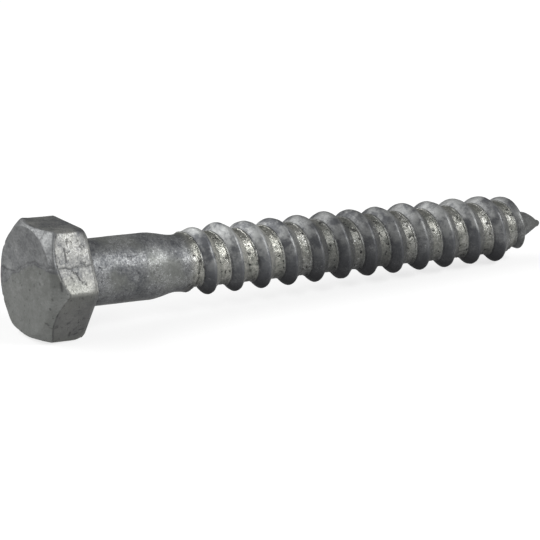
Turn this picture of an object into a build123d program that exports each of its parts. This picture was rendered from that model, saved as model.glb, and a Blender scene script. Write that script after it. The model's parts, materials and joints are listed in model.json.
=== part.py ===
"""Hex-head lag screw, 10 mm x 80 mm, hot-dip galvanised steel, as one solid.

The screw is modelled upright: its axis is +Z from the head to the point, the centre of the
bearing face under the head is the origin, and +X points at the head flat that it lies on.
It is then laid down on that flat and on its last full thread crest, pointing along +X.
"""
from build123d import *
import os
from functools import lru_cache
from math import atan2, cos, pi, radians, sin, tan

# Head: forged hexagon
head_across_flats = 16.0
head_height = 6.6
head_face_diameter = 15.4  # round flat that the chamfer leaves on the front face
head_chamfer_angle = 45.0
head_chamfer_offset = 0.35  # the chamfer is turned this far off the hexagon's centre, towards +Y
head_corner_radius = 0.45
head_rim_radius = 0.3  # eased rim of the bearing face
head_offset = 0.4  # the head is forged this far off the shank axis, towards +X

# Plain shank, necked down to the diameter that the thread was rolled from
length = 80.0  # bearing face to point
shank_diameter = 9.7
shank_length = 12.1  # full-diameter part
underhead_width = 0.5  # fillet under the head, across the axis and along it
underhead_length = 0.6
neck_diameter = 8.22
neck_taper_length = 5.0

# Thread: right-hand, single-start wood thread
thread_diameter = 9.86
thread_root_diameter = 7.6
thread_pitch = 4.5
thread_crest_width = 0.55
thread_flank_width = 0.72  # straight part of a flank, along the axis
thread_fillet_width = 0.6  # fillet between flank and root, along the axis
thread_fillet_height = 0.4
thread_runout = 1.8  # advance over which the crest rises out of the neck
thread_start_angle = 74.0  # direction in which the crest starts, from +X towards +Y
root_shoulder = 0.7  # length of the small step from the neck down to the root

# Point: the core tapers, and the crests die out into it
point_length = 7.0
point_crest_length = 7.9
point_crest_fullness = 1.4  # above 1 the crests keep their height longer
nose_diameter = 1.1
nose_length = 0.6
tail_turns = 2  # turns at the point over which the pitch tightens
tail_pitch_least = 0.5

# Resolution of the helical edges
pieces_per_turn = 4
steps_per_piece = 2

# Places along the axis
neck_start = shank_length + neck_taper_length
nose_start = length - nose_length
crest_lead = thread_fillet_width + thread_flank_width + thread_crest_width / 2
crest_start = neck_start + crest_lead
thread_zone = nose_start - neck_start

# The thread's section, as (distance along one pitch, share of the thread height)
flank_share = thread_fillet_height / ((thread_diameter - thread_root_diameter) / 2)
ridge_width = 2 * crest_lead
thread_section = [
    (0, 0),
    (thread_fillet_width, flank_share),
    (crest_lead - thread_crest_width / 2, 1),
    (crest_lead + thread_crest_width / 2, 1),
    (ridge_width - thread_fillet_width, flank_share),
    (ridge_width, 0),
    (thread_pitch, 0),
]

# Turns of thread, in whole pieces, so that the tail ends at the nose
whole_turns = (thread_zone - tail_pitch_least) / thread_pitch + tail_turns / 2
thread_pieces = int(whole_turns * pieces_per_turn)
thread_turns = thread_pieces / pieces_per_turn
body_turns = thread_turns - tail_turns
tail_pitch = 2 * (thread_zone - thread_pitch * body_turns) / tail_turns - thread_pitch


def ease(share):
    """Smooth step from 0 to 1."""
    share = min(max(share, 0.0), 1.0)
    return share * share * (3 - 2 * share)


def core_radius(z):
    """Radius of the neck, the thread root and the tapered point at height z."""
    step = (neck_diameter - thread_root_diameter) / 2
    radius = neck_diameter / 2 - step * ease((z - crest_start) / root_shoulder)
    taper = (z - length + point_length) / (point_length - nose_length)
    return radius + (nose_diameter / 2 - radius) * max(taper, 0.0)


def crest_radius(z):
    """Radius of the thread crest at height z, without the run-out."""
    taper = max((z - length + point_crest_length) / point_crest_length, 0.0)
    drop = (thread_diameter - nose_diameter) / 2 * taper**point_crest_fullness
    return max(thread_diameter / 2 - drop, core_radius(z))


def advance(turn):
    """Height that the foot of the thread has reached after a number of turns."""
    turn = min(max(turn, 0.0), thread_turns)
    tail = max(turn - body_turns, 0.0)
    return neck_start + thread_pitch * turn + (tail_pitch - thread_pitch) * tail**2 / (2 * tail_turns)


def rail_height(distance, turn):
    """Height of a helix that keeps a set distance, out of one pitch, from the foot."""
    foot = advance(turn)
    return foot + distance / thread_pitch * (advance(turn + 1) - foot)


def rail_point(rail, turn):
    """Point of one helical edge of the thread.

    The rails open out of a single point on the neck over the turn before the first, and close
    on a single point of the nose over the last turn, so the wound surface has no loose edge.
    """
    distance, share = thread_section[rail]
    z = rail_height(distance, turn)
    rise = ease(turn * thread_pitch / thread_runout) * ease(thread_turns - 1 - turn)
    radius = core_radius(z) + (crest_radius(z) - core_radius(z)) * share * rise
    angle = 2 * pi * turn
    return Vector(radius * cos(angle), radius * sin(angle), z)


@lru_cache(maxsize=None)
def rail_edge(rail, piece):
    """One piece of a helical edge. The last rail is the first one, a turn further on."""
    if rail == len(thread_section) - 1:
        return rail_edge(0, piece + pieces_per_turn)
    start, end = piece / pieces_per_turn, (piece + 1) / pieces_per_turn
    if rail == 0 and (piece < 0 or piece >= thread_pieces):
        z = neck_start if piece < 0 else nose_start
        arc = CenterArc((0, 0), core_radius(z), 360 * start, 360 / pieces_per_turn)
        return arc.edge().moved(Location((0, 0, z)))
    turns = [start + (end - start) * step / steps_per_piece for step in range(steps_per_piece + 1)]
    points = [rail_point(rail, turn) for turn in turns]
    nudge = 1e-5
    tangents = [rail_point(rail, start + nudge) - points[0], points[-1] - rail_point(rail, end - nudge)]
    return Spline(*points, tangents=tangents).edge()


def threaded_part():
    """Neck, thread and tapered point as one closed shell of helical strips."""
    strips = []
    for piece in range(-pieces_per_turn, thread_pieces):
        for rail in range(len(thread_section) - 1):
            strips.append(Face.make_surface_from_curves(rail_edge(rail, piece), rail_edge(rail + 1, piece)))
    for first in (-pieces_per_turn, thread_pieces):
        strips.append(Face(Wire([rail_edge(0, first + piece) for piece in range(pieces_per_turn)])))
    return Solid(Shell(strips))


def shank():
    """Turned profile from inside the head to the neck, with the fillet under the head."""
    shank_radius, neck_radius = shank_diameter / 2, neck_diameter / 2
    buried = -head_height / 2
    with BuildSketch(Plane.XZ) as profile:
        with BuildLine():
            rim = shank_radius + underhead_width
            root = Polyline((0, buried), (rim, buried), (rim, 0))
            underhead = EllipticalCenterArc((rim, underhead_length), underhead_width, underhead_length,
                                            start_angle=180, arc_size=90)
            side = Line(underhead @ 0, (shank_radius, shank_length))
            third = neck_taper_length / 3
            taper = Bezier(side @ 1, (shank_radius, shank_length + third),
                           (neck_radius, neck_start - third), (neck_radius, neck_start))
            Polyline(taper @ 1, (0, neck_start), root @ 0)
        make_face()
    return revolve(profile.sketch, Axis.Z)


def nose():
    """Blunt end of the point."""
    with BuildSketch(Plane.XZ) as profile:
        with BuildLine():
            base = Line((0, nose_start), (nose_diameter / 2, nose_start))
            dome = EllipticalCenterArc((0, nose_start), nose_diameter / 2, nose_length, arc_size=90)
            Line(dome @ 1, base @ 0)
        make_face()
    return revolve(profile.sketch, Axis.Z)


def head():
    """Hexagon with worn corners, its front face chamfered down to a round flat."""
    front = Location((head_offset, 0, -head_height))
    hexagon = RegularPolygon(head_across_flats / 2, 6, major_radius=False, rotation=30)
    blank = extrude(front * hexagon, head_height)
    blank = fillet(blank.edges().filter_by(Axis.Z), head_corner_radius)
    blank = fillet(blank.faces().sort_by(Axis.Z)[-1].edges(), head_rim_radius)
    cone_height = 2 * head_height
    cone_radius = head_face_diameter / 2 + cone_height * tan(radians(90 - head_chamfer_angle))
    cone = Cone(head_face_diameter / 2, cone_radius, cone_height,
                align=(Align.CENTER, Align.CENTER, Align.MIN))
    return blank & (front * Location((0, head_chamfer_offset, 0)) * cone)


def rest_tilt():
    """Angle by which the axis dips towards the point when the screw lies on the ground."""
    head_reach = head_across_flats / 2 + head_offset
    tilts = []
    for turn in range(1, int(thread_turns)):
        z = rail_height(crest_lead, turn - thread_start_angle / 360)
        tilts.append(atan2(head_reach - crest_radius(z), z + head_rim_radius))
    return min(tilts)


def laid_down(screw):
    """Turn the upright screw to point along +X with its +X side on the ground."""
    tilt = rest_tilt()
    ground = Plane(origin=(0, 0, 0), x_dir=(-sin(tilt), 0, -cos(tilt)), z_dir=(cos(tilt), 0, -sin(tilt)))
    return screw.moved(Location(ground))


thread = threaded_part().rotate(Axis.Z, thread_start_angle)
lag_screw = head() + shank() + thread + nose()
lag_screw = laid_down(lag_screw)

os.makedirs("parts", exist_ok=True)
export_step(lag_screw, "parts/lag_screw.step")
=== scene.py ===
import json
from math import atan2, cos, pi, radians, sin
from types import SimpleNamespace
import bpy
from mathutils import Matrix, Vector


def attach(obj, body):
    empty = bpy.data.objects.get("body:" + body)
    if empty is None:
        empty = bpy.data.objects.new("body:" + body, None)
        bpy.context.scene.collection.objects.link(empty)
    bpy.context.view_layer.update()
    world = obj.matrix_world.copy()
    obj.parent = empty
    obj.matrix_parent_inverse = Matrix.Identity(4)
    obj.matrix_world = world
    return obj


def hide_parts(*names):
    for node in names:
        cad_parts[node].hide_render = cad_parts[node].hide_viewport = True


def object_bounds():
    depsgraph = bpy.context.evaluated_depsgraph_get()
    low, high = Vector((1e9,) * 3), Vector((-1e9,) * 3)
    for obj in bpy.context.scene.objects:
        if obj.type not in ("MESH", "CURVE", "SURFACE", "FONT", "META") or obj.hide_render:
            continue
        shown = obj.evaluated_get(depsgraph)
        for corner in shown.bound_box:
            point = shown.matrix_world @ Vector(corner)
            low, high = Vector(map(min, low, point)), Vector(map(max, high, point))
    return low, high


bl_info = {
    "name": "Galvanised Lag Screw",
    "version": (1, 0, 0),
    "blender": (4, 5, 0),
    "location": "3D View > Sidebar > Lag Screw",
    "description": "Builds a hex-head lag screw with its zinc coat, and a plain stage to show it on",
    "category": "Object",
}

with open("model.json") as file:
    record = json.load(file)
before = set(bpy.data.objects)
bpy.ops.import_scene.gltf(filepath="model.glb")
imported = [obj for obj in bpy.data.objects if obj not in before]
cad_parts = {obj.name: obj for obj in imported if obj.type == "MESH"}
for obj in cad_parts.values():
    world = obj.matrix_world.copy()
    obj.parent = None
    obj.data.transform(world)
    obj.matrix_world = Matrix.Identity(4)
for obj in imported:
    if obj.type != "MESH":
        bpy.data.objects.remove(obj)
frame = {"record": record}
cad_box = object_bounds()

MM = 0.001
SCREW_NODE = "lag_screw"
COAT = "zinc_coat"


def resting_tilt():
    """Dip of the screw towards its point, read from the axis of its bearing face."""
    axes = {mount["name"]: mount["axis"] for mount in frame["record"]["mounts"]}
    x, _, z = axes["bearing_face"]
    return atan2(-z, x)


# The pieces are shaped upright, head down, and then turned about Y to lie on their +X side
LYING = resting_tilt() + pi / 2

# Rows of the thread's mesh over one pitch: fillet, flank, crest, flank, fillet, root
SECTION_ROWS = [7, 5, 6, 5, 4, 9]
ROWS_PER_TURN = sum(SECTION_ROWS)
COLUMNS_PER_TURN = 128
NOSE_ROWS = 8
THREAD_ENDS_PER_TURN = 4  # the thread is a whole number of quarter turns long
BURIED = 0.6 * MM  # how deep the shank starts inside the head
TURNS_TO_SPARE = 2.0  # turns wound inside the head before the shank, so that its end closes

# Sizes of the head, in millimetres, that its material needs as well
HEAD_HEIGHT = 6.6
HEAD_OFFSET = 0.4
CHAMFER_OFFSET = 0.35
FACE_DIAMETER = 15.4

# Drops of zinc on the two far corners of the front face: places off the axis
DROP_DOWN, DROP_FAR, DROP_WIDTH = 8.0 * MM, 4.6 * MM, 1.6 * MM

# Worn corners beside the bearing face: where the wear starts and is full, and how far it reaches
WEAR_START, WEAR_FULL, WEAR_REACH = 8.5 * MM, 9.2 * MM, 0.8 * MM

# Rows of the head's mesh, from the middle of the front face to the middle of the bearing face
FACE_ROWS, CHAMFER_ROWS, SIDE_ROWS, RIM_ROWS, BEARING_ROWS = 36, 12, 34, 4, 14
HEAD_COLUMNS = 360
BEARING_INSIDE = 4.2 * MM  # radius inside the shank, where the last row of the head closes

WELD_DISTANCE = 0.001 * MM
SEED = 3.0

# Places along the axis where the zinc changes its tone
NECK_SHADE, NECK_SHADE_WIDTH = 17.6 * MM, 1.3 * MM
POINT_SHADE_START, POINT_SHADE_END = 72.0 * MM, 77.0 * MM
DULL_START, DULL_FULL = 30.0 * MM, 40.0 * MM
DULL_FADE_START, DULL_FADE_END = 46.0 * MM, 62.0 * MM

# Stage
LAMP_DISTANCE = 0.7
KEY_DIRECTION, KEY_SIZE = (0.53, -0.63, 0.57), (0.40, 0.34)
LEFT_DIRECTION, LEFT_SIZE = (-0.56, 0.42, 0.66), (1.10, 0.34)
FLOOR_HALF_WIDTH = 3.0
SENSOR_WIDTH = 36.0  # in millimetres
CLIP_START, CLIP_END = 0.01, 20.0

# Marks of the rolling: share of the way round, place along the axis, width along the axis, height.
# Where the thread starts a bump, the notch behind it and a shoulder; at the point a burr.
ROLLING_MARKS = [
    (0.79, 18.80 * MM, 0.60 * MM, 0.28 * MM),
    (0.79, 20.65 * MM, 0.40 * MM, -0.32 * MM),
    (0.41, 19.40 * MM, 0.38 * MM, 0.14 * MM),
    (0.36, 78.20 * MM, 0.80 * MM, 0.28 * MM),
]
ROLLING_MARK_WIDTH = 0.11  # in turns

# Gashes in the sides of the head that face -Y: start and end, each as place towards the +X side
# and place along the axis, and half width
HEAD_GASHES = [
    (-5.5 * MM, -4.0 * MM, -3.9 * MM, -4.1 * MM, 0.15 * MM),
    (-2.4 * MM, -3.0 * MM, -1.4 * MM, -2.6 * MM, 0.10 * MM),
    (-1.3 * MM, -5.6 * MM, -0.2 * MM, -5.5 * MM, 0.15 * MM),
    (7.3 * MM, -2.6 * MM, 6.8 * MM, -2.6 * MM, 0.18 * MM),
    (7.2 * MM, -1.8 * MM, 7.0 * MM, -1.4 * MM, 0.14 * MM),
    (6.5 * MM, -1.3 * MM, 6.4 * MM, -0.6 * MM, 0.10 * MM),
    (5.2 * MM, -3.5 * MM, 5.1 * MM, -3.3 * MM, 0.18 * MM),
]

# Places where the ridge stands high or is knocked down: turn, width in turns, height
RIDGE_MARKS = [
    (0.31, 0.10, 0.22 * MM),
    (1.32, 0.13, 0.26 * MM),
    (5.29, 0.09, 0.18 * MM),
    (8.31, 0.09, 0.18 * MM),
    (11.24, 0.04, -0.10 * MM),
    (11.37, 0.05, -0.16 * MM),
    (6.62, 0.06, -0.10 * MM),
    (9.10, 0.07, -0.12 * MM),
    (3.02, 0.06, -0.08 * MM),
]


# --- Formulas as nodes ---------------------------------------------------------------------


class Value:
    """The output of a node, which can stand in a formula: each operator adds a Math node."""

    def __init__(self, nodes, socket):
        self.nodes = nodes
        self.socket = socket

    def __add__(self, other):
        return self.nodes.math("ADD", self, other)

    def __radd__(self, other):
        return self.nodes.math("ADD", other, self)

    def __sub__(self, other):
        return self.nodes.math("SUBTRACT", self, other)

    def __rsub__(self, other):
        return self.nodes.math("SUBTRACT", other, self)

    def __mul__(self, other):
        return self.nodes.math("MULTIPLY", self, other)

    def __rmul__(self, other):
        return self.nodes.math("MULTIPLY", other, self)

    def __truediv__(self, other):
        return self.nodes.math("DIVIDE", self, other)

    def __rtruediv__(self, other):
        return self.nodes.math("DIVIDE", other, self)

    def __pow__(self, power):
        return self.nodes.math("POWER", self, power)

    def __gt__(self, other):
        return self.nodes.math("GREATER_THAN", self, other)


class Nodes:
    """Adds nodes to a shader or geometry tree."""

    def __init__(self, tree):
        self.tree = tree

    def make(self, kind, settings=None, inputs=None, output=0):
        """Node of any kind, with its settings and its inputs' values or links. Returns an output."""
        node = self.tree.nodes.new(kind)
        for key, setting in (settings or {}).items():
            setattr(node, key, setting)
        for key, given in (inputs or {}).items():
            if isinstance(given, Value):
                self.tree.links.new(given.socket, node.inputs[key])
            else:
                node.inputs[key].default_value = given
        return Value(self, node.outputs[output])

    def math(self, operation, *terms):
        return self.make("ShaderNodeMath", {"operation": operation}, dict(enumerate(terms)))

    def smallest(self, a, b):
        return self.math("MINIMUM", a, b)

    def largest(self, a, b):
        return self.math("MAXIMUM", a, b)

    def sine(self, turned):
        return self.math("SINE", turned)

    def cosine(self, turned):
        return self.math("COSINE", turned)

    def root(self, value):
        return self.math("SQRT", self.largest(value, 0.0))

    def ramp(self, value, start, end, low=0.0, high=1.0, smooth=True):
        """Goes from low to high as the value goes from start to end."""
        kind = "SMOOTHSTEP" if smooth else "LINEAR"
        inputs = {0: value, 1: start, 2: end, 3: low, 4: high}
        return self.make("ShaderNodeMapRange", {"interpolation_type": kind, "clamp": True}, inputs)

    def bell(self, distance, width):
        """1 where the distance is 0, fading out smoothly over the width."""
        return self.math("EXPONENT", 0.0 - (distance / width) ** 2.0)

    def noise(self, place, size, seed, detail=2.0, roughness=0.5, distortion=0.0):
        """Cloudy pattern from 0 to 1, with features of about the given size in metres."""
        inputs = {"Vector": place, "W": seed, "Scale": 1 / size, "Detail": detail}
        inputs.update({"Roughness": roughness, "Distortion": distortion})
        return self.make("ShaderNodeTexNoise", {"noise_dimensions": "4D"}, inputs)

    def colour_mix(self, share, first, second):
        settings = {"data_type": "RGBA", "clamp_factor": True}
        return self.make("ShaderNodeMix", settings, {0: share, 6: first, 7: second}, 2)

    def stretched(self, vector, factors):
        inputs = {0: vector, 1: factors}
        return self.make("ShaderNodeVectorMath", {"operation": "MULTIPLY"}, inputs)

    def scaled(self, vector, factor):
        return self.make("ShaderNodeVectorMath", {"operation": "SCALE"}, {0: vector, "Scale": factor})

    def parts(self, vector):
        """The three coordinates of a vector."""
        node = self.make("ShaderNodeSeparateXYZ", None, {0: vector}).socket.node
        return [Value(self, output) for output in node.outputs]

    def joined(self, x, y, z):
        return self.make("ShaderNodeCombineXYZ", None, {0: x, 1: y, 2: z})

    def stored(self, name):
        """A value kept on the points of the mesh, read by a geometry tree."""
        return self.make("GeometryNodeInputNamedAttribute", {"data_type": "FLOAT"}, {"Name": name})

    def store(self, geometry, name, value):
        """Keeps a value on each point of the mesh under a name."""
        settings = {"data_type": "FLOAT", "domain": "POINT"}
        inputs = {"Geometry": geometry, "Name": name, "Value": value}
        return self.make("GeometryNodeStoreNamedAttribute", settings, inputs)

    def place(self, geometry, position):
        return self.make("GeometryNodeSetPosition", None, {"Geometry": geometry, "Position": position})

    def shift(self, geometry, offset):
        return self.make("GeometryNodeSetPosition", None, {"Geometry": geometry, "Offset": offset})


def staircase(nodes, row, steps):
    """Grows by each step's amount, evenly over that step's rows. Steps are (rows, amount)."""
    total, start = 0.0, 0
    for rows, amount in steps:
        total = total + amount * nodes.ramp(row, start, start + rows, smooth=False)
        start += rows
    return total


# --- Sizes and colours that a user may change ----------------------------------------------


def length(name, description, millimetres):
    return bpy.props.FloatProperty(
        name=name, description=description, default=millimetres * MM, unit="LENGTH", precision=5)


def angle(name, description, degrees):
    return bpy.props.FloatProperty(
        name=name, description=description, default=radians(degrees), subtype="ANGLE")


def amount(name, description, default):
    return bpy.props.FloatProperty(name=name, description=description, default=default)


def share(name, description, default):
    return bpy.props.FloatProperty(
        name=name, description=description, default=default, min=0.0, max=1.0, subtype="FACTOR")


def colour(name, description, default):
    return bpy.props.FloatVectorProperty(
        name=name, description=description, default=default, size=3, min=0.0, max=1.0, subtype="COLOR")


class LagScrewHeadSizes(bpy.types.PropertyGroup):
    """Sizes of the forged head."""

    across_flats: length("Across Flats", "Distance between opposite flats", 16.0)
    height: length("Head Height", "From the bearing face to the front face", HEAD_HEIGHT)
    face_diameter: length("Face Diameter", "Round flat on the front of the head", FACE_DIAMETER)
    chamfer: angle("Chamfer Angle", "Slope of the chamfer around the front face", 45.0)
    chamfer_offset: length("Chamfer Offset", "How far the chamfer is off the hexagon's centre",
                           CHAMFER_OFFSET)
    corner: length("Corner Radius", "Rounding of the six corners", 0.45)
    rim: length("Rim Radius", "Rounding around the bearing face", 0.3)
    offset: length("Head Offset", "How far the head is forged off the shank's axis", HEAD_OFFSET)
    askew: length("Askew", "How much taller the head is on its -Y side", 0.25)
    seam_depth: length("Seam Depth", "Depth of the forging seam across the head", 0.04)
    dents: length("Dents", "Height of the soft dents in the head", 0.12)
    grain: length("Zinc Grain", "Height of the rough zinc on the head", 0.05)
    coat: length("Coat", "Thickness of the zinc all over the head", 0.10)
    corner_drops: length("Corner Drops", "Zinc that set on the two far corners of the front face", 0.25)
    corner_wear: length("Corner Wear", "How far the corners beside the bearing face are worn", 0.30)
    seed: amount("Seed", "Another number gives other dents and grain", SEED)


class LagScrewShankSizes(bpy.types.PropertyGroup):
    """Sizes of the shank, the thread and the point."""

    length: length("Length", "From the bearing face to the point", 80.0)
    shank_diameter: length("Shank Diameter", "Plain part under the head", 9.7)
    shank_length: length("Shank Length", "Full-diameter part of the shank", 12.1)
    underhead_width: length("Underhead Width", "Fillet under the head, across the axis", 0.5)
    underhead_length: length("Underhead Length", "Fillet under the head, along the axis", 0.6)
    neck_diameter: length("Neck Diameter", "Blank that the thread was rolled from", 8.22)
    neck_taper: length("Neck Taper", "Length over which the shank narrows", 5.0)
    thread_diameter: length("Thread Diameter", "Outside diameter of the thread", 9.86)
    root_diameter: length("Root Diameter", "Core between the crests", 7.6)
    pitch: length("Pitch", "Advance of the thread in one turn", 4.5)
    crest_width: length("Crest Width", "Top of the thread, before it is rounded", 0.55)
    crown: length("Crest Crown", "Rounding on top of the thread", 0.10)
    flank_width: length("Flank Width", "Straight part of a flank, along the axis", 0.72)
    fillet_width: length("Fillet Width", "Fillet between flank and root, along the axis", 0.6)
    fillet_height: length("Fillet Height", "Height of that fillet", 0.4)
    runout: length("Run-out", "Advance over which the first crest rises", 1.8)
    start_angle: angle("Start Angle", "Direction in which the first crest starts", 74.0)
    shoulder: length("Root Shoulder", "Length of the step from neck to root", 0.7)
    point_length: length("Point Length", "Tapered part of the core", 7.0)
    point_crest: length("Point Crest Length", "Part over which the crests die out", 7.9)
    point_fullness: amount("Point Fullness", "Above 1 the last crests keep their height longer", 1.4)
    nose_diameter: length("Nose Diameter", "Blunt end of the point", 1.1)
    nose_length: length("Nose Length", "Rounding at the very end", 0.6)
    tail_turns: amount("Tail Turns", "Turns at the point over which the pitch tightens", 2.0)
    tail_pitch_least: length("Least Tail Pitch", "Shortest pitch allowed at the point", 0.5)
    root_coat: length("Root Coat", "Thickness of the zinc that fills the thread roots", 0.08)
    lumps: length("Zinc Lumps", "Height of the zinc lumps in the thread roots", 0.22)
    pits: length("Pits", "Depth of the holes in the zinc", 0.20)
    wear: length("Crest Wear", "How far the crests are worn here and there", 0.10)
    grain: length("Zinc Grain", "Height of the rough zinc on the shank", 0.03)
    foot_lip: length("Foot Lip", "Edge of the zinc in the roots, beside the flank", 0.07)
    corner_fill: length("Corner Fill", "Zinc that ran into the far corner of the roots", 0.14)
    flank_bulge: length("Flank Bulge", "How far the flank that faces the head bulges", 0.08)
    foot_groove: length("Foot Groove", "Groove between that edge and the flank", 0.09)
    seed: amount("Seed", "Another number gives other lumps and pits", SEED)


class LagScrewFinish(bpy.types.PropertyGroup):
    """Colours and gloss of the zinc coat."""

    dark_zinc: colour("Dark Zinc", "Dull bluish grey of the coat", (0.102, 0.106, 0.113))
    light_zinc: colour("Light Zinc", "Bright zinc", (0.41, 0.418, 0.412))
    warm_zinc: colour("Warm Zinc", "Bright rough zinc in the roots and on the sides of the head",
                      (0.43, 0.425, 0.385))
    olive_zinc: colour("Olive Zinc", "Brownish grey of the older coat", (0.200, 0.207, 0.186))
    flank_zinc: colour("Flank Zinc", "Smooth dark coat on the flanks of the thread", (0.126, 0.131, 0.140))
    # Colour of the pits and seams, and also the colour that the painted shade darkens towards.
    pit_and_shade: colour("Pit", "Dirt in pits and seams", (0.030, 0.030, 0.032))
    edge_tint: colour("Edge Tint", "Dulls what the coat mirrors at a glancing angle", (0.4, 0.4, 0.4))
    # Painted shade: darkens the base colour on the side that the screw lies on, which is in shade.
    underside_shade: share("Underside", "How much darker the coat is on the side that the screw lies on", 0.45)
    # Bare zinc on high spots, and also the colour of painted glints and of the painted highlight on the
    # lip of the roots.
    spark_and_glint: colour("Spark", "Clean zinc on scratched high spots", (0.72, 0.73, 0.75))
    metallic: share("Metallic", "How metallic the dull coat is", 0.50)
    bright_metallic: share("Bright Metallic", "How metallic the bright coat in the roots is", 0.85)
    smooth_roughness: share("Smooth Roughness", "Roughness of the smooth coat", 0.40)
    rough_roughness: share("Rough Roughness", "Roughness of the dull coat", 0.55)
    seed: amount("Seed", "Another number gives another mottling", SEED)


class LagScrewStage(bpy.types.PropertyGroup):
    """Floor, lamps and camera."""

    floor_colour: colour("Floor Colour", "Plain floor, before its white glow", (0.26, 0.26, 0.26))
    floor_glow: amount("Floor Glow", "Lifts the floor to white where it is seen or mirrored", 0.76)
    surround: amount("Surround", "Strength of the plain light all around", 0.17)
    key_strength: amount("Key Strength", "Brightness of the large soft lamp on the right", 10.8)
    left_strength: amount("Left Strength", "Brightness of the long soft lamp on the left", 4.75)
    aim: bpy.props.FloatVectorProperty(
        name="Aim", description="Point that the camera looks at, from the middle of the screw's box",
        default=(-5.56 * MM, -3.64 * MM, -2.80 * MM), subtype="TRANSLATION", precision=5)
    lens: amount("Lens", "Focal length of the camera, in millimetres", 295.26)
    distance: length("Camera Distance", "From the camera to its target", 640.0)
    azimuth: angle("Camera Azimuth", "Turn of the camera around the screw", -30.212)
    elevation: angle("Camera Elevation", "Height of the camera above the horizon", 15.817)
    roll: angle("Camera Roll", "Lean of the camera", -0.419)


# --- Geometry trees ------------------------------------------------------------------------


def tree_with_inputs(name, settings):
    """Geometry tree with a named input for each of the settings.

    Returns the nodes, the inputs as values, and the identifier of each input's socket.
    """
    tree = bpy.data.node_groups.new(name, "GeometryNodeTree")
    tree.interface.new_socket("Geometry", in_out="OUTPUT", socket_type="NodeSocketGeometry")
    identifiers = {}
    for key, prop in type(settings).__annotations__.items():
        socket = tree.interface.new_socket(
            prop.keywords["name"], in_out="INPUT", socket_type="NodeSocketFloat")
        socket.default_value = prop.keywords["default"]
        identifiers[key] = socket.identifier
    nodes = Nodes(tree)
    group_input = tree.nodes.new("NodeGroupInput")
    outputs = {output.identifier: output for output in group_input.outputs}
    sizes = {key: Value(nodes, outputs[identifier]) for key, identifier in identifiers.items()}
    return nodes, SimpleNamespace(**sizes), identifiers


def grid_with_rows(nodes, columns, rows):
    """Flat grid to be wrapped. Returns it, the share of the way round, and the row's number."""
    inputs = {"Size X": 1.0, "Size Y": rows, "Vertices X": columns + 1, "Vertices Y": rows + 1}
    grid = nodes.make("GeometryNodeMeshGrid", None, inputs)
    x, y, _ = nodes.parts(nodes.make("GeometryNodeInputPosition"))
    return grid, x + 0.5, nodes.math("ROUND", y + rows * 0.5)


def welded(nodes, geometry):
    inputs = {"Geometry": geometry, "Distance": WELD_DISTANCE}
    return nodes.make("GeometryNodeMergeByDistance", None, inputs)


def softened(nodes, geometry, passes, weight=1.0):
    """Rounds the edges of a mesh by averaging each point with its neighbours."""
    position = nodes.make("GeometryNodeInputPosition")
    inputs = {"Value": position, "Iterations": passes, "Weight": weight}
    blurred = nodes.make("GeometryNodeBlurAttribute", {"data_type": "FLOAT_VECTOR"}, inputs)
    return nodes.place(geometry, blurred)


def finish_tree(nodes, geometry):
    """Smooths the shading, lays the upright part down and gives it its material."""
    inputs = {"Geometry": geometry, "Rotation": (0.0, LYING, 0.0)}
    geometry = nodes.make("GeometryNodeTransform", None, inputs)
    geometry = nodes.make("GeometryNodeSetShadeSmooth", None, {"Geometry": geometry})
    geometry = nodes.make("GeometryNodeRealizeInstances", None, {"Geometry": geometry})
    inputs = {"Geometry": geometry, "Material": bpy.data.materials[COAT]}
    geometry = nodes.make("GeometryNodeSetMaterial", None, inputs)
    output = nodes.tree.nodes.new("NodeGroupOutput")
    nodes.tree.links.new(geometry.socket, output.inputs[0])


def mesh_from_tree(name, nodes, identifiers, settings):
    """Plain mesh object that the tree makes out of the settings."""
    piece = bpy.data.objects.new(name, bpy.data.meshes.new(name))
    bpy.context.scene.collection.objects.link(piece)
    modifier = piece.modifiers.new(name, "NODES")
    modifier.node_group = nodes.tree
    for key, identifier in identifiers.items():
        modifier[identifier] = getattr(settings, key)
    depsgraph = bpy.context.evaluated_depsgraph_get()
    mesh = bpy.data.meshes.new_from_object(
        piece.evaluated_get(depsgraph), preserve_all_data_layers=True, depsgraph=depsgraph)
    piece.modifiers.remove(modifier)
    piece.data = mesh
    if not mesh.polygons:
        raise RuntimeError(f"{name} came out empty")
    return piece


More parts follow.
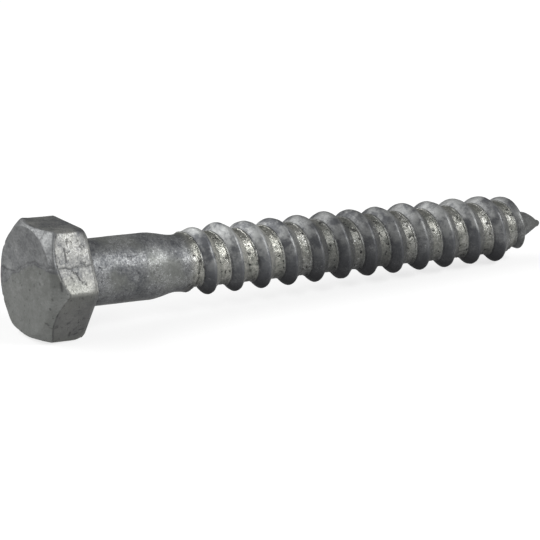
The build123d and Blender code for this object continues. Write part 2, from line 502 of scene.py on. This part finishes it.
def winding(nodes, size):
    """Grid wound along the helix, with each point's turn, height and place across the thread.

    A row keeps its distance from the foot of the thread, so the edges of the crest run along
    the rows. Over the shank the rows wind at the same pitch, and start inside the head.
    """
    ramp, largest, smallest = nodes.ramp, nodes.largest, nodes.smallest
    pitch = size.pitch
    neck_start = size.shank_length + size.neck_taper
    zone = size.length - size.nose_length - neck_start
    whole_turns = (zone - size.tail_pitch_least) / pitch + size.tail_turns / 2.0
    turns = nodes.math("FLOOR", whole_turns * THREAD_ENDS_PER_TURN) / THREAD_ENDS_PER_TURN
    body_turns = turns - size.tail_turns
    tail_pitch = (zone - pitch * body_turns) * 2.0 / size.tail_turns - pitch
    tail_bend = (tail_pitch - pitch) / (size.tail_turns * 2.0)

    shank_turns = nodes.math("CEIL", (neck_start + BURIED) / pitch) + TURNS_TO_SPARE
    wound_rows = (nodes.math("CEIL", turns) + shank_turns) * ROWS_PER_TURN
    grid, around, row = grid_with_rows(nodes, COLUMNS_PER_TURN, wound_rows + NOSE_ROWS)
    wound_row = smallest(row, wound_rows)
    row_in_turn = nodes.math("FLOORED_MODULO", wound_row, ROWS_PER_TURN)
    turn = nodes.math("ROUND", (wound_row - row_in_turn) / ROWS_PER_TURN) - shank_turns + around

    def advance(at_turn):
        at_turn = smallest(at_turn, turns)
        tail = largest(at_turn - body_turns, 0.0)
        return largest(neck_start + pitch * at_turn + tail_bend * tail ** 2.0, -BURIED)

    ridge_half = size.fillet_width + size.flank_width + size.crest_width / 2.0
    low = size.fillet_height * 2.0 / (size.thread_diameter - size.root_diameter)
    high = 1.0 - low
    widths = [size.fillet_width, size.flank_width, size.crest_width,
              size.flank_width, size.fillet_width, pitch - ridge_half * 2.0]
    rises = [low, high, 0.0, 0.0 - high, 0.0 - low]
    across = staircase(nodes, row_in_turn, list(zip(SECTION_ROWS, widths)))
    section = staircase(nodes, row_in_turn, list(zip(SECTION_ROWS, rises)))
    crest_row = SECTION_ROWS[0] + SECTION_ROWS[1]
    along_crest = ramp(row_in_turn, crest_row, crest_row + SECTION_ROWS[2], -1.0, 1.0, smooth=False)

    # The first crest begins as a low swelling, and the last one sinks into the point
    start = 0.82 * ramp(turn, 0.0, size.runout / pitch) + 0.18 * ramp(turn, -0.45, -0.1)
    rise = start * ramp(turn, turns - 2.0, turns - 1.0, 1.0, 0.0)
    foot = advance(turn)
    return SimpleNamespace(
        grid=grid, around=around, row=row, turn=turn, rise=rise,
        z=foot + across / pitch * (advance(turn + 1.0) - foot),
        from_foot=across, height=section * rise, crown=(1.0 - along_crest ** 2.0) * rise,
        crest_start=neck_start + ridge_half, far_edge=ridge_half + size.crest_width / 2.0,
        dome=ramp(row - wound_rows, 0.0, NOSE_ROWS, 0.0, pi / 2, smooth=False))


def core_and_crest(nodes, size, wound):
    """Radius of the shank, neck and root, and of the crest, at each point's height."""
    ramp, largest = nodes.ramp, nodes.largest
    z = wound.z
    shank_radius, neck_radius = size.shank_diameter / 2.0, size.neck_diameter / 2.0
    nose_radius = size.nose_diameter / 2.0
    below_fillet = ramp(z, 0.0, size.underhead_length, 1.0, 0.0, smooth=False)
    fillet = size.underhead_width * (1.0 - nodes.root(1.0 - below_fillet ** 2.0))
    neck_start = size.shank_length + size.neck_taper
    core = shank_radius + fillet
    core = core - (shank_radius - neck_radius) * ramp(z, size.shank_length, neck_start)
    step = neck_radius - size.root_diameter / 2.0
    core = core - step * ramp(z, wound.crest_start, wound.crest_start + size.shoulder)
    taper = largest((z - size.length + size.point_length) / (size.point_length - size.nose_length), 0.0)
    core = core + (nose_radius - core) * taper
    crest_taper = largest((z - size.length + size.point_crest) / size.point_crest, 0.0)
    crest_drop = (size.thread_diameter / 2.0 - nose_radius) * crest_taper ** size.point_fullness
    return core, largest(size.thread_diameter / 2.0 - crest_drop, core)


def shank_tree(settings):
    """Shank, neck, thread and point as one grid wound along the helix."""
    nodes, size, identifiers = tree_with_inputs("Threaded Shank", settings)
    ramp, bell = nodes.ramp, nodes.bell
    wound = winding(nodes, size)
    core, crest = core_and_crest(nodes, size, wound)

    # The ridge: rounded on top, uneven, and high or knocked down in a few places
    unevenness = nodes.make("ShaderNodeTexNoise", {"noise_dimensions": "1D"},
                            {"W": wound.turn * 1.9 + size.seed, "Detail": 3.0})
    marks = ramp(unevenness, 0.5, 0.8) * size.wear * -1.0
    for turn, width, height in RIDGE_MARKS:
        marks = marks + bell(wound.turn - turn, width) * height
    radius = core + (crest - core) * wound.height + size.crown * wound.crown
    radius = radius + marks * wound.height ** 2.0
    for around, place, width, height in ROLLING_MARKS:
        # Counted from half a turn before the mark, so that the mark carries on past the seam
        off_mark = nodes.math("FLOORED_MODULO", wound.around - around + 0.5, 1.0) - 0.5
        along = wound.z - place - size.pitch * off_mark
        radius = radius + bell(off_mark, ROLLING_MARK_WIDTH) * bell(along, width) * height

    radius = radius * nodes.cosine(wound.dome) * nodes.smallest(wound.row, 1.0)
    z = wound.z + size.nose_length * nodes.sine(wound.dome)
    theta = wound.around * (2.0 * pi) + size.start_angle
    position = nodes.joined(radius * nodes.cosine(theta), radius * nodes.sine(theta), z)

    # What the zinc and its material need to know about each point of the thread
    in_zone = ramp(z, wound.crest_start - 1.5 * MM, wound.crest_start)
    in_zone = in_zone * ramp(z, size.length - 7.0 * MM, size.length - 3.5 * MM, 1.0, 0.0)
    risen = ramp(wound.rise, 0.1, 0.5)
    from_foot, far_edge = wound.from_foot, wound.far_edge
    smooth = ramp(from_foot, 0.28 * MM, 0.38 * MM)
    smooth = smooth * ramp(from_foot, far_edge, far_edge + 0.15 * MM, 1.0, 0.0)
    mesh = nodes.store(wound.grid, "thread_height", wound.height)
    mesh = nodes.store(mesh, "thread_zone", in_zone)
    mesh = nodes.store(mesh, "smooth_side", smooth * risen)
    mesh = nodes.store(mesh, "foot_groove", bell(from_foot - 0.33 * MM, 0.09 * MM) * risen * in_zone)
    mesh = nodes.store(mesh, "foot_lip", bell(from_foot - 0.17 * MM, 0.09 * MM) * risen * in_zone)
    mesh = nodes.store(mesh, "flank_middle", bell(from_foot - 0.85 * MM, 0.42 * MM) * risen * in_zone)
    far_corner = bell(from_foot - far_edge - 0.25 * MM, 0.38 * MM) * risen * in_zone
    mesh = nodes.store(mesh, "far_corner", far_corner)
    far_side = ramp(from_foot, far_edge, far_edge + 0.2 * MM)
    far_side = far_side * ramp(from_foot, far_edge + 0.9 * MM, far_edge + 1.5 * MM, 1.0, 0.0)
    mesh = nodes.store(mesh, "far_side", far_side * risen)
    mesh = welded(nodes, nodes.place(mesh, position))
    mesh = softened(nodes, mesh, 5, ramp(nodes.stored("thread_height"), 0.45, 0.85, 0.05, 1.0))

    # Zinc: lumps and pits in the roots, a lip and a groove at the foot of the flank, fine grain
    at = nodes.make("GeometryNodeInputPosition")
    outwards = nodes.make("GeometryNodeInputNormal")
    root = nodes.stored("thread_zone") * (1.0 - nodes.stored("smooth_side"))
    root = root * ramp(nodes.stored("thread_height"), 0.3, 0.95, 1.0, 0.15)
    lumps = (nodes.noise(at, 1.3 * MM, size.seed, 3.0, 0.6, 0.6) - 0.5) * size.lumps * 2.0
    pits = ramp(nodes.noise(at, 0.75 * MM, size.seed), 0.31, 0.41, 1.0, 0.0) * size.pits
    dents = (nodes.noise(at, 4.5 * MM, size.seed, 1.0) - 0.5) * size.grain * 4.0
    grain = (nodes.noise(at, 0.6 * MM, size.seed, 3.0) - 0.5) * size.grain * 2.0
    down, _, height = nodes.parts(at)
    clear = ramp(height, 0.2 * MM, 1.5 * MM)
    coat = size.root_coat * ramp(down, -4.0 * MM, 4.0 * MM, 3.0, 0.4)
    offset = (lumps - pits + coat) * root + (dents + grain) * clear
    offset = offset + nodes.stored("foot_lip") * size.foot_lip * ramp(down, -3.5 * MM, -1.0 * MM, 0.2, 1.0)
    offset = offset - nodes.stored("foot_groove") * size.foot_groove
    on_edge = ramp(nodes.math("ABSOLUTE", down), 2.2 * MM, 4.2 * MM)
    offset = offset + nodes.stored("far_corner") * size.corner_fill * on_edge
    offset = offset + nodes.stored("flank_middle") * size.flank_bulge
    mesh = nodes.shift(mesh, nodes.scaled(outwards, offset))
    finish_tree(nodes, mesh)
    return nodes, identifiers


def hexagon_reach(nodes, size, theta):
    """Distance from the hexagon's centre to its outline: flats, with an arc at each corner."""
    flat, sixth = size.across_flats / 2.0, pi / 3
    off_flat = nodes.math("FLOORED_MODULO", theta + sixth / 2, sixth) - sixth / 2
    off_flat = nodes.math("ABSOLUTE", off_flat)
    off_corner = sixth / 2 - off_flat
    arc_centre = (flat - size.corner) / cos(sixth / 2)
    arc_end = nodes.math("ARCTANGENT", arc_centre * sin(sixth / 2) / flat)
    arc = nodes.root(size.corner ** 2.0 - (arc_centre * nodes.sine(off_corner)) ** 2.0)
    arc = arc + arc_centre * nodes.cosine(off_corner)
    straight = flat / nodes.cosine(off_flat)
    return straight + (arc - straight) * (off_flat > arc_end)


def head_tree(settings):
    """Head as one grid wrapped around its axis, from the front face over the sides to the back."""
    nodes, size, identifiers = tree_with_inputs("Forged Head", settings)
    ramp = nodes.ramp
    rows = FACE_ROWS + CHAMFER_ROWS + SIDE_ROWS + RIM_ROWS + BEARING_ROWS + 1
    grid, around, row = grid_with_rows(nodes, HEAD_COLUMNS, rows)
    theta = around * (2.0 * pi)
    outline = hexagon_reach(nodes, size, theta)
    across_x, across_y = nodes.cosine(theta), nodes.sine(theta)

    # Front face and chamfer spread from the chamfer's own centre to the hexagon's outline
    spread_x = outline * across_x
    spread_y = outline * across_y - size.chamfer_offset
    spread = nodes.root(spread_x ** 2.0 + spread_y ** 2.0)
    face = nodes.smallest(size.face_diameter / 2.0, spread)
    steepness = nodes.math("TANGENT", size.chamfer)
    chamfer_rise = nodes.largest(spread - size.face_diameter / 2.0, 0.0) * steepness
    reach = staircase(nodes, row, [(FACE_ROWS, face), (CHAMFER_ROWS, spread - face)]) / spread
    side_height = size.height - chamfer_rise - size.rim
    z = staircase(nodes, row, [(FACE_ROWS, 0.0), (CHAMFER_ROWS, chamfer_rise), (SIDE_ROWS, side_height)])

    # The rim and the bearing face run inwards again
    side_end = FACE_ROWS + CHAMFER_ROWS + SIDE_ROWS
    turned = ramp(row, side_end, side_end + RIM_ROWS, 0.0, pi / 2, smooth=False)
    inwards = size.rim * (1.0 - nodes.cosine(turned)) + staircase(nodes, row, [
        (side_end + RIM_ROWS, 0.0),
        (BEARING_ROWS, outline - size.rim - BEARING_INSIDE),
        (1, BEARING_INSIDE)])
    z = z - size.height + size.rim * nodes.sine(turned)
    x = size.offset + spread_x * reach - inwards * across_x
    y = size.chamfer_offset + spread_y * reach - inwards * across_y
    z = z + (z / size.height + 1.0) * size.askew * (0.5 - y / size.across_flats)
    mesh = welded(nodes, nodes.place(grid, nodes.joined(x, y, z)))
    mesh = softened(nodes, mesh, 2)

    at = nodes.make("GeometryNodeInputPosition")
    outwards = nodes.make("GeometryNodeInputNormal")
    down, far, height = nodes.parts(at)
    on_bearing = ramp(height, -0.4 * MM, -0.1 * MM)
    coat = size.coat * ramp(down, 7.4 * MM, 8.2 * MM, 1.0, 0.0)
    off_drop = nodes.math("ABSOLUTE", down - size.offset) - DROP_DOWN
    from_drop = nodes.root(off_drop ** 2.0 + (far - DROP_FAR) ** 2.0 + (height + size.height) ** 2.0)
    coat = coat + nodes.bell(from_drop, DROP_WIDTH) * size.corner_drops
    dents = (nodes.noise(at, 5.0 * MM, size.seed) - 0.5) * size.dents
    grain = (nodes.noise(at, 0.9 * MM, size.seed, 4.0, 0.6) - 0.5) * size.grain
    grain = grain * (2.0 - 1.4 * on_front(nodes, at))
    seam = nodes.bell(seam_distance(nodes, at, size.seed), 0.16 * MM) * size.seam_depth
    from_axis = nodes.root((down - size.offset) ** 2.0 + far ** 2.0)
    worn = ramp(from_axis, WEAR_START, WEAR_FULL) * nodes.bell(height, WEAR_REACH) * size.corner_wear
    worn = worn * ramp(far, 0.0, 3.0 * MM, 1.0, 0.0)
    offset = (dents + grain + coat) * (1.0 - on_bearing) - seam - worn
    mesh = nodes.shift(mesh, nodes.scaled(outwards, offset))
    finish_tree(nodes, mesh)
    return nodes, identifiers


def from_face_middle(nodes, x, y):
    """Distance from the middle of the round flat on the head's front face."""
    return nodes.root((x - HEAD_OFFSET * MM) ** 2.0 + (y - CHAMFER_OFFSET * MM) ** 2.0)


def on_front(nodes, upright):
    """1 on the round flat of the head's front face, 0 on its chamfer and everywhere else."""
    x, y, z = nodes.parts(upright)
    edge, front = FACE_DIAMETER / 2 * MM, -HEAD_HEIGHT * MM
    inside = nodes.ramp(from_face_middle(nodes, x, y), edge - 0.4 * MM, edge + 0.05 * MM, 1.0, 0.0)
    return inside * nodes.ramp(z, front + 0.3 * MM, front + 0.6 * MM, 1.0, 0.0)


def over_chamfer(nodes, upright):
    """Height above the head's front face and chamfer, along the axis."""
    x, y, z = nodes.parts(upright)
    past_face = from_face_middle(nodes, x, y) - FACE_DIAMETER / 2 * MM
    return z + HEAD_HEIGHT * MM - nodes.largest(past_face, 0.0)


def seam_distance(nodes, upright, seed):
    """Distance from the forging seam, which snakes over the front face and runs along the side."""
    x, y, _ = nodes.parts(upright)
    wave = nodes.ramp(y, 5.5 * MM, -3.0 * MM, 0.1 * MM, 3.1 * MM)
    wobble = (nodes.noise(upright, 1.6 * MM, seed) - 0.5) * 0.9 * MM
    return x + wave + wobble


# --- Finish --------------------------------------------------------------------------------


def new_material(name):
    """Empty material, and what adds nodes to it."""
    material = bpy.data.materials.new(name)
    material.use_nodes = True
    material.node_tree.nodes.clear()
    return Nodes(material.node_tree)


def show(nodes, shader):
    output = nodes.tree.nodes.new("ShaderNodeOutputMaterial")
    nodes.tree.links.new(shader.socket, output.inputs["Surface"])


def zinc_material(finish):
    """Hot-dip zinc: mottled dull grey, bright and crinkled in the roots, with pits and seams."""
    nodes = new_material(COAT)
    ramp, bell = nodes.ramp, nodes.bell
    seed = finish.seed
    shown = {key: (*getattr(finish, key), 1.0) for key in
             ("dark_zinc", "light_zinc", "warm_zinc", "olive_zinc", "flank_zinc", "pit_and_shade", "spark_and_glint",
              "edge_tint")}
    at = nodes.make("ShaderNodeTexCoord", None, None, "Object")
    upright = nodes.make("ShaderNodeVectorRotate", {"rotation_type": "Y_AXIS"},
                         {"Vector": at, "Angle": -LYING})
    x, y, z = nodes.parts(upright)

    def kept(name):
        return nodes.make("ShaderNodeAttribute", {"attribute_name": name}, None, "Fac")

    # Parts of the screw
    zone = kept("thread_zone")
    flank = kept("smooth_side") * zone
    groove, lip = kept("foot_groove"), kept("foot_lip")
    far_side = kept("far_side")
    root = zone * (1.0 - flank) * (1.0 - far_side * ramp(z, 26.0 * MM, 36.0 * MM, 0.2, 0.7))
    plain = 1.0 - zone
    on_head = ramp(z, 0.0, 0.3 * MM, 1.0, 0.0)
    above = over_chamfer(nodes, upright)
    front = ramp(above, 0.05 * MM, 0.30 * MM, 1.0, 0.0) * on_head
    head_side = on_head * (1.0 - front)
    # The lower side of the screw, below the axis, and the lower part of the head's sides: it carries
    # painted shade and keeps painted glints off.
    low = nodes.largest(ramp(x, 0.5 * MM, 4.5 * MM), ramp(x, 0.2 * MM, 0.9 * MM) * head_side)

    # Patterns, from the largest to the finest
    cloud = nodes.noise(upright, 4.5 * MM, seed, 3.0, 0.55)
    tint = nodes.noise(upright, 6.0 * MM, seed + 7.0)
    drawn_out = nodes.stretched(upright, (1.0, 0.6, 1.0))
    mottle = nodes.noise(drawn_out, 1.1 * MM, seed, 5.0, 0.62, 0.4)
    crinkle = nodes.noise(upright, 0.75 * MM, seed, 5.0, 0.70, 1.8)
    fine = nodes.noise(drawn_out, 0.30 * MM, seed, 4.0, 0.65)
    lengthways = nodes.stretched(upright, (0.35, 1.0, 1.6))
    scratches = nodes.noise(lengthways, 0.7 * MM, seed + 3.0, 3.0, 0.6, 0.3)

    # How light the zinc is here: mottled at random, lighter on the front face, and lighter on the sides of
    # the head, partly bright zinc and partly a painted highlight where the key lamp falls, most of all on
    # the middle of the sides
    light = (mottle - 0.5) * (1.2 - 0.2 * front - 0.5 * head_side)
    light = light + (cloud - 0.5) * (1.1 + 0.6 * head_side)
    light = light + (fine - 0.5) * (1.3 - 0.5 * front - 0.5 * head_side)
    # Painted shade: darker on the lower side. Lighter on the front face and on the sides of the head.
    light = light * (1.0 - low * (0.4 + 0.2 * head_side)) + 0.17 + 0.23 * front + 0.10 * head_side
    # Painted highlight: lighter on the middle of the head's sides, between their top and the lower side.
    light = light + ramp(x, -4.0 * MM, -1.0 * MM) * (1.0 - low) * head_side * 0.18
    lightness = ramp(light, 0.0, 1.0, smooth=False)
    lightest = nodes.colour_mix(head_side, shown["light_zinc"], shown["warm_zinc"])
    base = nodes.colour_mix(lightness, shown["dark_zinc"], lightest)
    dull = ramp(z, DULL_START, DULL_FULL) * ramp(z, DULL_FADE_START, DULL_FADE_END, 1.0, 0.6)
    root_light = (crinkle - 0.5) * (4.4 - 1.4 * dull) + (cloud - 0.5) * 1.6 + (fine - 0.5) * 1.0
    root_light = root_light + 0.50 - 0.16 * dull + 0.20 * far_side
    root_light = ramp(root_light, 0.0, 1.0, smooth=False)
    root_colour = nodes.colour_mix(root_light, shown["olive_zinc"], shown["warm_zinc"])
    base = nodes.colour_mix(root, base, root_colour)
    flank_share = flank * ramp(mottle, 0.42, 0.66, 0.95, 0.6) * ramp(cloud, 0.48, 0.60, 1.0, 0.25)
    base = nodes.colour_mix(flank_share, base, shown["flank_zinc"])
    worn = nodes.noise(upright, 2.4 * MM, seed + 5.0, 4.0, 0.6)
    # Light worn patches on the flanks, on their upper half only: wear, and a painted highlight where the
    # light falls on the flanks.
    rubbed_and_highlit = flank * ramp(x, -2.5 * MM, 1.5 * MM, 1.0, 0.0)
    rubbed_and_highlit = rubbed_and_highlit * ramp(worn + mottle * 0.5, 0.63, 0.84, 0.0, 0.85)
    base = nodes.colour_mix(rubbed_and_highlit, base, shown["light_zinc"])

    # Older brownish zinc: patches on the shank and head, and the lower half of the front face
    seam = seam_distance(nodes, upright, seed)
    below = seam - ramp(y, 4.0 * MM, 7.0 * MM) * 1.8 * MM
    patches = ramp(tint, 0.40, 0.58) * plain * (1.0 - front) * ramp(x, -7.6 * MM, -7.2 * MM, 0.2, 0.6)
    older = nodes.largest(patches, front * ramp(below, 0.35 * MM, 0.75 * MM) * 0.65)
    base = nodes.colour_mix(older * (1.0 - lightness * 0.6), base, shown["olive_zinc"])

    # Painted shade: the base colour is darker on the side that the screw lies on, most of all on the
    # thread, and on the top of the plain shank. It is also darker around the neck, towards the point and
    # along a dull stretch of the thread.
    darker = low * finish.underside_shade * (1.0 + zone - head_side * 0.35) * (1.0 - front)
    darker = darker + bell(z - NECK_SHADE, NECK_SHADE_WIDTH) * 0.2
    darker = darker + ramp(z, POINT_SHADE_START, POINT_SHADE_END) * 0.12
    # Painted shade on the lower part of the thread.
    darker = darker + bell(x - 2.2 * MM, 2.2 * MM) * zone * 0.16
    # Painted shade on the top of the plain shank; the dull stretch along the thread is a darker tone.
    darker = darker + (dull * 0.5 + ramp(x, -3.0 * MM, -4.6 * MM) * plain * 0.2) * (1.0 - low)
    base = nodes.colour_mix(darker, base, shown["pit_and_shade"])

    # Dirt in the pits, the seams and the scratches; painted shade in the groove at the foot of the flank
    # and along the edge of the front face and chamfer
    pit_noise = nodes.noise(upright, 0.75 * MM, seed)
    pits = ramp(pit_noise, 0.32, 0.39, 1.0, 0.0) * (root * 0.9 + plain * 0.35 + flank * 0.15)
    crack = bell(seam, 0.09 * MM + 0.08 * MM * front) * on_head * ramp(mottle, 0.3, 0.6, 0.55, 0.25)
    second_crack = bell(below - 0.45 * MM, 0.14 * MM) * front * 0.22
    scratched = ramp(scratches, 0.31, 0.38, 0.5, 0.0) * head_side
    scratched = nodes.largest(scratched, gashes(nodes, x, y, z) * 0.6)
    # Painted shade: a dark line along the edge of the front face and chamfer.
    edge_line = bell(above - 0.20 * MM, 0.12 * MM) * on_head
    edge_line = edge_line * ramp(mottle, 0.35, 0.60, 0.65, 0.15)
    dirt_and_shade = nodes.largest(nodes.largest(pits, crack), nodes.largest(second_crack, scratched))
    # Painted shade in the groove at the foot of the flank.
    dirt_and_shade = nodes.largest(nodes.largest(dirt_and_shade, edge_line), groove * 0.45)
    base = nodes.colour_mix(dirt_and_shade, base, shown["pit_and_shade"])

    # Bare zinc and painted glints: small sparks and squiggles, kept off the lower side, and a painted
    # highlight along the lip of the roots
    spark_and_glint = ramp(fine, 0.60, 0.70) * ramp(mottle, 0.48, 0.6)
    # Painted glints: thin bright curved lines.
    squiggle_glint = bell(crinkle - 0.53, 0.010) * ramp(cloud, 0.48, 0.60) * 0.9
    spark_and_glint = nodes.largest(spark_and_glint, squiggle_glint) * (1.0 - dirt_and_shade) * (1.0 - flank * 0.7)
    # Painted highlight along the lip of the roots.
    edges = lip * 0.15 * ramp(mottle, 0.40, 0.60, 0.15, 1.0) * (1.0 - low)
    clean_zinc_and_glints = nodes.largest(spark_and_glint * (0.65 - 0.55 * front - 0.25 * head_side) * (1.0 - low * 0.8), edges)
    base = nodes.colour_mix(clean_zinc_and_glints, base, shown["spark_and_glint"])

    metal = root * (0.8 - 0.8 * low) * (1.0 - dull * 0.6) * (1.0 - far_side) + clean_zinc_and_glints + low * zone
    metal = ramp(metal, 0.0, 1.0, finish.metallic, finish.bright_metallic, smooth=False)
    metal = metal * (1.0 - 0.5 * far_side * (1.0 - dull))
    roughness = ramp(fine + cloud * 0.5, 0.5, 1.0, finish.rough_roughness, finish.smooth_roughness)
    roughness = roughness - clean_zinc_and_glints * 0.10 + dirt_and_shade * 0.2 - root * (0.15 - 0.11 * dull) + flank * 0.04
    plain_bumps = (mottle * 0.48 + fine * 0.30) * (1.0 - front * 0.6 - head_side * 0.45)
    bumps = plain_bumps * (plain + flank * 0.6) + crinkle * root * (0.95 - 0.10 * dull) - dirt_and_shade * 0.3
    normal = nodes.make("ShaderNodeBump", None, {
        "Strength": 0.8, "Distance": 0.16 * MM, "Height": bumps + scratches * head_side * 0.3})
    shader = nodes.make("ShaderNodeBsdfPrincipled", None, {
        "Base Color": base, "Metallic": metal, "Roughness": roughness, "Normal": normal,
        "Specular Tint": shown["edge_tint"]})
    show(nodes, shader)


def gashes(nodes, x, y, z):
    """1 on the gashes in the sides of the head, 0 beside them."""
    found = 0.0
    for start_x, start_z, end_x, end_z, half_width in HEAD_GASHES:
        run_x, run_z = end_x - start_x, end_z - start_z
        along = (x - start_x) * run_x + (z - start_z) * run_z
        reached = nodes.ramp(along, 0.0, run_x ** 2 + run_z ** 2, smooth=False)
        off_x, off_z = x - start_x - reached * run_x, z - start_z - reached * run_z
        found = found + nodes.bell(nodes.root(off_x ** 2.0 + off_z ** 2.0), half_width)
    return found * nodes.ramp(y, -4.4 * MM, -4.0 * MM, 1.0, 0.0)


def floor_material(settings):
    """Plain floor that shows white, with the screw's soft shadow on it."""
    nodes = new_material("pale_floor")
    outputs = nodes.make("ShaderNodeLightPath").socket.node.outputs
    rays = [Value(nodes, outputs[name]) for name in
            ("Is Camera Ray", "Is Glossy Ray", "Is Transmission Ray")]
    seen = nodes.largest(nodes.largest(rays[0], rays[1]), rays[2])
    lit = nodes.make("ShaderNodeBsdfDiffuse", None, {"Color": (*settings.floor_colour, 1.0)})
    glow = nodes.make("ShaderNodeEmission", None, {"Strength": seen * settings.floor_glow})
    show(nodes, nodes.make("ShaderNodeAddShader", None, {0: lit, 1: glow}))
    return bpy.data.materials["pale_floor"]


# --- Operators -----------------------------------------------------------------------------


def declare(piece):
    """Hangs the piece on the root body and hides the CAD screw that it stands for."""
    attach(piece, "root")
    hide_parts(SCREW_NODE)


class LAGSCREW_OT_finish(bpy.types.Operator):
    """Make the zinc coat's material"""

    bl_idname = "lagscrew.finish"
    bl_label = "Zinc Coat"

    def execute(self, context):
        zinc_material(context.scene.lag_screw_finish)
        return {"FINISHED"}


class LAGSCREW_OT_head(bpy.types.Operator):
    """Build the forged hexagon head"""

    bl_idname = "lagscrew.head"
    bl_label = "Forged Head"

    def execute(self, context):
        settings = context.scene.lag_screw_head
        nodes, identifiers = head_tree(settings)
        declare(mesh_from_tree("forged_head", nodes, identifiers, settings))
        return {"FINISHED"}


class LAGSCREW_OT_shank(bpy.types.Operator):
    """Build the shank with its wound thread and its point"""

    bl_idname = "lagscrew.shank"
    bl_label = "Threaded Shank"

    def execute(self, context):
        settings = context.scene.lag_screw_shank
        nodes, identifiers = shank_tree(settings)
        declare(mesh_from_tree("threaded_shank", nodes, identifiers, settings))
        return {"FINISHED"}


def soft_lamp(name, direction, target, size, radiance):
    """Oblong lamp with a set brightness, facing the target."""
    width, height = size
    lamp = bpy.data.lights.new(name, "AREA")
    lamp.shape = "RECTANGLE"
    lamp.size, lamp.size_y = width, height
    lamp.energy = radiance * pi * width * height
    holder = bpy.data.objects.new(name, lamp)
    direction = Vector(direction).normalized()
    holder.location = Vector(target) + direction * LAMP_DISTANCE
    holder.rotation_euler = direction.to_track_quat("Z", "Y").to_euler()
    bpy.context.scene.collection.objects.link(holder)



def add_floor(settings):
    """Square floor under the screw's lowest point."""
    half, lowest = FLOOR_HALF_WIDTH, cad_box[0].z
    corners = [(-half, -half, lowest), (half, -half, lowest), (half, half, lowest), (-half, half, lowest)]
    mesh = bpy.data.meshes.new("floor")
    mesh.from_pydata(corners, [], [(0, 1, 2, 3)])
    mesh.materials.append(floor_material(settings))
    floor = bpy.data.objects.new("floor", mesh)
    bpy.context.scene.collection.objects.link(floor)


def add_camera(settings, target):
    lens = bpy.data.cameras.new("camera")
    lens.lens = settings.lens
    lens.sensor_width = SENSOR_WIDTH
    lens.clip_start, lens.clip_end = CLIP_START, CLIP_END
    camera = bpy.data.objects.new("camera", lens)
    around, up = settings.azimuth, settings.elevation
    back = Vector((sin(around) * cos(up), -cos(around) * cos(up), sin(up)))
    turn = back.to_track_quat("Z", "Y").to_matrix() @ Matrix.Rotation(settings.roll, 3, "Z")
    camera.matrix_world = Matrix.Translation(target + back * settings.distance) @ turn.to_4x4()
    bpy.context.scene.collection.objects.link(camera)
    bpy.context.scene.camera = camera


class LAGSCREW_OT_stage(bpy.types.Operator):
    """Set up the pale floor, the soft lamps and the camera"""

    bl_idname = "lagscrew.stage"
    bl_label = "Stage"

    def execute(self, context):
        settings = context.scene.lag_screw_stage
        target = (cad_box[0] + cad_box[1]) / 2 + Vector(settings.aim)
        add_floor(settings)
        add_camera(settings, target)
        soft_lamp("key_lamp", KEY_DIRECTION, target, KEY_SIZE, settings.key_strength)
        soft_lamp("left_lamp", LEFT_DIRECTION, target, LEFT_SIZE, settings.left_strength)
        world = bpy.data.worlds.new("studio")
        world.use_nodes = True
        background = world.node_tree.nodes["Background"]
        background.inputs["Color"].default_value = (1.0, 1.0, 1.0, 1.0)
        background.inputs["Strength"].default_value = settings.surround
        context.scene.world = world
        context.scene.view_settings.view_transform = "Standard"
        return {"FINISHED"}


class LAGSCREW_PT_panel(bpy.types.Panel):
    """Lists what builds the screw"""

    bl_idname = "LAGSCREW_PT_panel"
    bl_label = "Lag Screw"
    bl_space_type = "VIEW_3D"
    bl_region_type = "UI"
    bl_category = "Lag Screw"

    def draw(self, context):
        for operator in OPERATORS:
            self.layout.operator(operator.bl_idname)
        for name in SETTINGS:
            group = getattr(context.scene, name)
            for key in type(group).__annotations__:
                self.layout.prop(group, key)


OPERATORS = [LAGSCREW_OT_finish, LAGSCREW_OT_head, LAGSCREW_OT_shank, LAGSCREW_OT_stage]
SETTINGS = {
    "lag_screw_head": LagScrewHeadSizes,
    "lag_screw_shank": LagScrewShankSizes,
    "lag_screw_finish": LagScrewFinish,
    "lag_screw_stage": LagScrewStage,
}


def register():
    for group in SETTINGS.values():
        bpy.utils.register_class(group)
    for name, group in SETTINGS.items():
        setattr(bpy.types.Scene, name, bpy.props.PointerProperty(type=group))
    for kind in [*OPERATORS, LAGSCREW_PT_panel]:
        bpy.utils.register_class(kind)


def unregister():
    for kind in [LAGSCREW_PT_panel, *reversed(OPERATORS)]:
        bpy.utils.unregister_class(kind)
    for name, group in SETTINGS.items():
        delattr(bpy.types.Scene, name)
        bpy.utils.unregister_class(group)


def main():
    register()
    bpy.ops.lagscrew.finish()
    bpy.ops.lagscrew.head()
    bpy.ops.lagscrew.shank()
    bpy.ops.lagscrew.stage()


if __name__ == "__main__":
    main()
